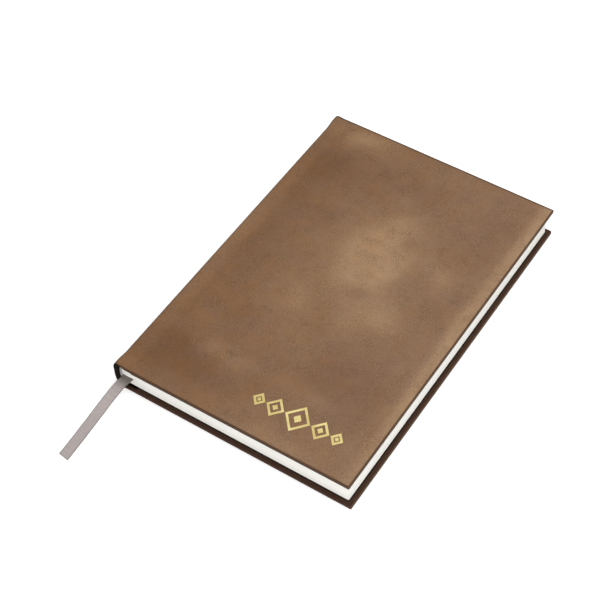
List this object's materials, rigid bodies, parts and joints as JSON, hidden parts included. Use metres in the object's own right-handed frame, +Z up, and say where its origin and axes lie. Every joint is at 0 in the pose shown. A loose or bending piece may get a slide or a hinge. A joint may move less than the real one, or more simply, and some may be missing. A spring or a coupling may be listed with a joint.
{
  "type": "faux leather notebook",
  "caption": "Closed case-bound notebook in brown faux leather, with hinged covers, a ribbon marker and a foil ornament on the front cover.",
  "frame": {"origin": "middle of the closed book's underside, without the ribbon", "axes": "+Z up through the closed book, +X from the spine to the fore-edge, +Y from the tail to the head"},
  "size_m": [0.1451, 0.2642, 0.02],
  "materials": {
    "leaves": "matt uncoated",
    "endpaper": "matt uncoated",
    "binding_cloth": "woven cotton",
    "kraft_paper": "matt",
    "grey_board": "matt",
    "faux_leather": "fine grain, mottled, low sheen",
    "ribbon": "satin weave",
    "foil": "hot-stamped pale gold"
  },
  "bodies": {
    "block": {"text_block": "leaves", "front_flyleaf": "endpaper", "back_flyleaf": "endpaper", "spine_mull": "binding_cloth", "spine_lining": "kraft_paper", "headband": "binding_cloth", "tailband": "binding_cloth", "spine_inlay": "grey_board", "spine_leather": "faux_leather", "ribbon_marker": "ribbon"},
    "front_cover": {"front_board": "grey_board", "front_leather": "faux_leather", "front_pastedown": "endpaper", "foil_ornament": "foil"},
    "back_cover": {"back_board": "grey_board", "back_leather": "faux_leather", "back_pastedown": "endpaper"}
  },
  "joints": [
    {"name": "front_joint", "type": "hinge", "parent": "block", "child": "front_cover", "pos_m": [-0.0665, 0, 0.0175], "axis": [0, -1, 0], "range_deg": [0, 179]},
    {"name": "back_joint", "type": "hinge", "parent": "block", "child": "back_cover", "pos_m": [-0.0665, 0, 0.0025], "axis": [0, 1, 0], "range_deg": [0, 179]}
  ]
}
